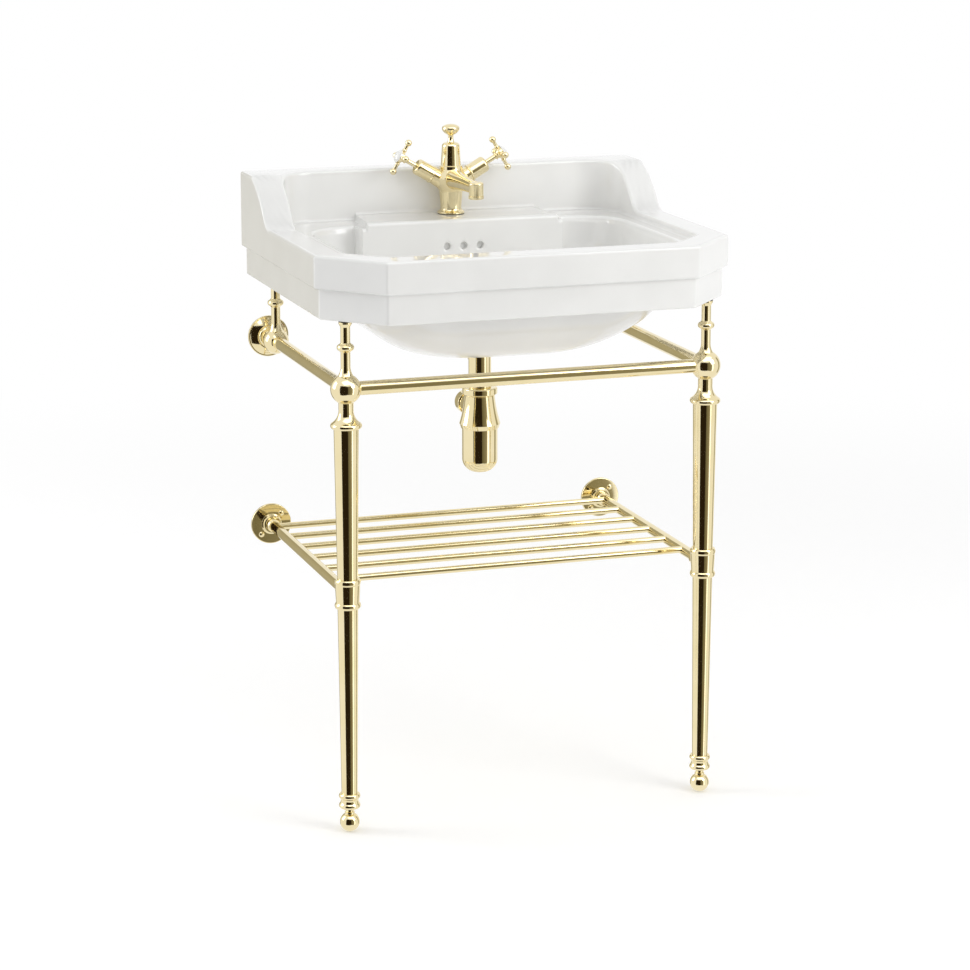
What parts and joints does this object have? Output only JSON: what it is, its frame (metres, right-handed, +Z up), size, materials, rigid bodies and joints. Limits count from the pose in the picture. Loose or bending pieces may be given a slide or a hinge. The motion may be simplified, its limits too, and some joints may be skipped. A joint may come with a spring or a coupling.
{
  "type": "console sink with legs",
  "caption": "Wall-backed china basin with cut front corners on a turned brass washstand with towel rails and a slatted shelf, a cross-head mixer, pop-up waste and bottle trap.",
  "frame": {"origin": "on the floor, midway between the two sides and between the wall and the front edge", "axes": "+Z up, -Y to the front, +Y into the wall, +X to the right as seen from the front"},
  "size_m": [0.61, 0.49, 0.9503],
  "materials": {
    "gold_plate": "polished pale gold plating on brass",
    "white_china": "white glazed vitreous china, opaque and glossy",
    "rubber": "black rubber",
    "steel": "plain stainless steel",
    "copper": "bare copper tube",
    "cartridge_plastic": "white moulded plastic"
  },
  "bodies": {
    "basin_and_stand": {"basin": "white_china", "mixer_body": "gold_plate", "mixer_gasket": "rubber", "spout_aerator": "gold_plate", "valve_cover_hot": "gold_plate", "valve_cover_cold": "gold_plate", "valve_cartridges": "cartridge_plastic", "mixer_washer": "steel", "mixer_back_nut": "gold_plate", "inlet_tails": "copper", "pivot_nut": "gold_plate", "waste_body": "gold_plate", "waste_washers": "rubber", "waste_back_nut": "gold_plate", "trap_inlet_nut": "gold_plate", "trap_body": "gold_plate", "trap_cup": "gold_plate", "trap_dip_tube": "cartridge_plastic", "trap_seals": "rubber", "trap_outlet_nut": "gold_plate", "front_rail": "gold_plate", "shelf_rails": "gold_plate", "wall_screws": "gold_plate", "stem_pads": "rubber", "leg_ball_left": "gold_plate", "leg_upper_left": "gold_plate", "shelf_sleeve_left": "gold_plate", "leg_lower_left": "gold_plate", "front_stem_left": "gold_plate", "rear_stem_left": "gold_plate", "rear_ball_left": "gold_plate", "upper_wall_flange_left": "gold_plate", "lower_wall_flange_left": "gold_plate", "side_rail_left": "gold_plate", "shelf_side_rail_left": "gold_plate", "leg_ball_right": "gold_plate", "leg_upper_right": "gold_plate", "shelf_sleeve_right": "gold_plate", "leg_lower_right": "gold_plate", "front_stem_right": "gold_plate", "rear_stem_right": "gold_plate", "rear_ball_right": "gold_plate", "upper_wall_flange_right": "gold_plate", "lower_wall_flange_right": "gold_plate", "side_rail_right": "gold_plate", "shelf_side_rail_right": "gold_plate"},
    "hot_handle": {"cross_handle_hot": "gold_plate", "index_button_hot": "white_china", "spindle_hot": "gold_plate"},
    "cold_handle": {"cross_handle_cold": "gold_plate", "index_button_cold": "white_china", "spindle_cold": "gold_plate"},
    "lift": {"lift_knob": "gold_plate", "lift_rod": "gold_plate", "lift_strap": "steel", "strap_screw": "gold_plate"},
    "pivot": {"pivot_rod": "gold_plate"},
    "plug": {"waste_plug": "gold_plate"},
    "left_foot": {"levelling_foot_left": "gold_plate"},
    "right_foot": {"levelling_foot_right": "gold_plate"}
  },
  "joints": [
    {"name": "hot_handle_turn", "type": "hinge", "parent": "basin_and_stand", "child": "hot_handle", "pos_m": [0, 0.177, 0.859], "axis": [-0.866, 0, 0.5], "range_deg": [0, 90]},
    {"name": "cold_handle_turn", "type": "hinge", "parent": "basin_and_stand", "child": "cold_handle", "pos_m": [0, 0.177, 0.859], "axis": [0.866, 0, 0.5], "range_deg": [0, 90]},
    {"name": "knob_lift", "type": "slide", "parent": "basin_and_stand", "child": "lift", "axis": [0, 0, 1], "range_m": [0, 0.025]},
    {"name": "pivot_swing", "type": "hinge", "parent": "basin_and_stand", "child": "pivot", "pos_m": [0, 0.06575, 0.619], "axis": [1, 0, 0], "range_deg": [0, 12.6]},
    {"name": "plug_lift", "type": "slide", "parent": "basin_and_stand", "child": "plug", "axis": [0, 0, 1], "range_m": [-0.00515, 0]},
    {"name": "left_foot_screw", "type": "slide", "parent": "basin_and_stand", "child": "left_foot", "axis": [0, 0, 1], "range_m": [0, 0.005]},
    {"name": "right_foot_screw", "type": "slide", "parent": "basin_and_stand", "child": "right_foot", "axis": [0, 0, 1], "range_m": [0, 0.005]}
  ],
  "couplings": [
    {"joint": "pivot_swing", "follows": "knob_lift", "rad_per_m": 8.765},
    {"joint": "plug_lift", "follows": "knob_lift", "ratio": -0.2056}
  ]
}
